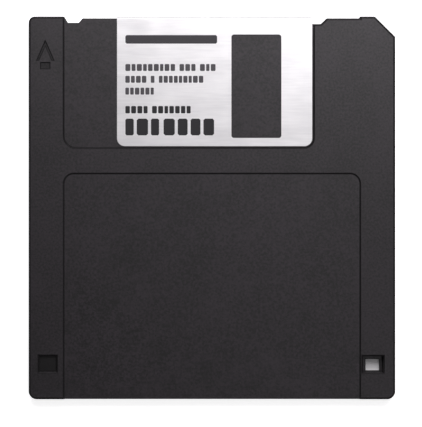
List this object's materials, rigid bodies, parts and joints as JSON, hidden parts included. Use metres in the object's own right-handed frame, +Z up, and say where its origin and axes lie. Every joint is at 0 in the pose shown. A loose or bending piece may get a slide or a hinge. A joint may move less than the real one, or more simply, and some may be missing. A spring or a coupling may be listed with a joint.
{
  "type": "floppy disk",
  "caption": "Flat square disk cartridge with a cut corner, a spring-closed sliding steel shutter, a write-protect tab and a film disk on a steel hub inside.",
  "frame": {"origin": "on the hub's spindle axis, in the plane that the back face rests on", "axes": "+Z up, towards the label face; +Y towards the shutter end; +X to the right, towards the cut corner"},
  "size_m": [0.09, 0.094, 0.0033],
  "materials": {
    "case_plastic": "moulded, fine matt grain",
    "tab_plastic": "moulded, smooth",
    "shutter_steel": "stainless sheet, fine brushed",
    "spring_steel": "drawn wire",
    "hub_steel": "pressed stainless sheet",
    "film": "smooth dark oxide coating",
    "adhesive": "matt film",
    "liner_cloth": "soft non-woven cloth",
    "lifter_plastic": "smooth leaf"
  },
  "bodies": {
    "case": {"top_shell": "case_plastic", "bottom_shell": "case_plastic", "upper_liner": "liner_cloth", "lower_liner": "liner_cloth", "liner_lifter": "lifter_plastic", "shutter_spring": "spring_steel"},
    "shutter": {"shutter": "shutter_steel"},
    "disk": {"magnetic_disk": "film", "hub": "hub_steel", "hub_adhesive_ring": "adhesive"},
    "protect_tab": {"write_protect_slider": "tab_plastic"}
  },
  "joints": [
    {"name": "shutter_slide", "type": "slide", "parent": "case", "child": "shutter", "axis": [-1, 0, 0], "range_m": [0, 0.0109], "stiffness_N_per_m": 45, "springref_m": -0.0067, "deforming": ["shutter_spring"]},
    {"name": "disk_spin", "type": "hinge", "parent": "case", "child": "disk", "pos_m": [0, 0, 0], "axis": [0, 0, 1], "continuous": true},
    {"name": "write_protect_slide", "type": "slide", "parent": "case", "child": "protect_tab", "axis": [0, -1, 0], "range_m": [0, 0.00425]}
  ]
}
